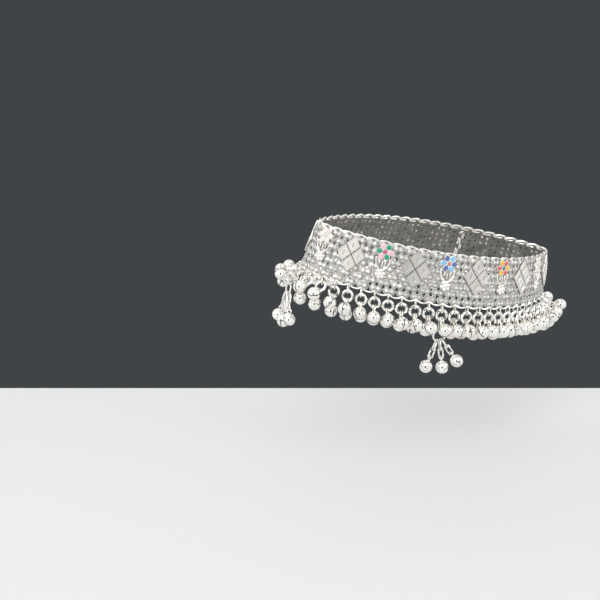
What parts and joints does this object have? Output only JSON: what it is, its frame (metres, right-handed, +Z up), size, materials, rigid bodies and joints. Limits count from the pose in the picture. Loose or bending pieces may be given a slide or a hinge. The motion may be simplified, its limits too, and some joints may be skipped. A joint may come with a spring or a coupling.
{
  "type": "anklet",
  "caption": "Silver payal anklet: a leaning mesh band with engraved diamond plates, enamelled flowers, a fringe of bells on jump rings and tassels.",
  "frame": {"origin": "middle of the ankle opening, at half the height of the band, where the mount ankle sits", "axes": "+Z up as worn, -X to the instep end, +X to the heel end, -Y to the outer side of the foot, the side the picture shows"},
  "size_m": [0.1336, 0.0755, 0.0584],
  "materials": {
    "silver": "bright polished silver, grey in the recesses",
    "enamel_green": "glossy enamel, teal green and pale pink petals round a magenta middle",
    "enamel_blue": "glossy enamel, dark and light blue petals round a salmon middle",
    "enamel_yellow": "glossy enamel, yellow and rose petals round a teal middle"
  },
  "bodies": {
    "root": {"mesh_band": "silver", "top_wire": "silver", "hook_wire_row": "silver", "clasp_bar": "silver", "jump_rings": "silver", "outer_bells": "silver", "inner_bells": "silver", "tassel_1": "silver", "tassel_2": "silver", "diamond_plate_1": "silver", "flower_plaque_1": "silver", "enamel_flower_1": "enamel_yellow", "diamond_plate_2": "silver", "flower_plaque_2": "silver", "enamel_flower_2": "enamel_green", "diamond_plate_3": "silver", "flower_plaque_3": "silver", "enamel_flower_3": "enamel_blue", "diamond_plate_4": "silver", "flower_plaque_4": "silver", "enamel_flower_4": "enamel_yellow", "diamond_plate_5": "silver", "flower_plaque_5": "silver", "enamel_flower_5": "enamel_green", "diamond_plate_6": "silver", "flower_plaque_6": "silver", "enamel_flower_6": "enamel_blue", "diamond_plate_7": "silver", "flower_plaque_7": "silver", "enamel_flower_7": "enamel_yellow", "diamond_plate_8": "silver", "flower_plaque_8": "silver", "enamel_flower_8": "enamel_green", "diamond_plate_9": "silver", "flower_plaque_9": "silver", "enamel_flower_9": "enamel_blue", "diamond_plate_10": "silver", "flower_plaque_10": "silver", "enamel_flower_10": "enamel_yellow"}
  },
  "joints": []
}
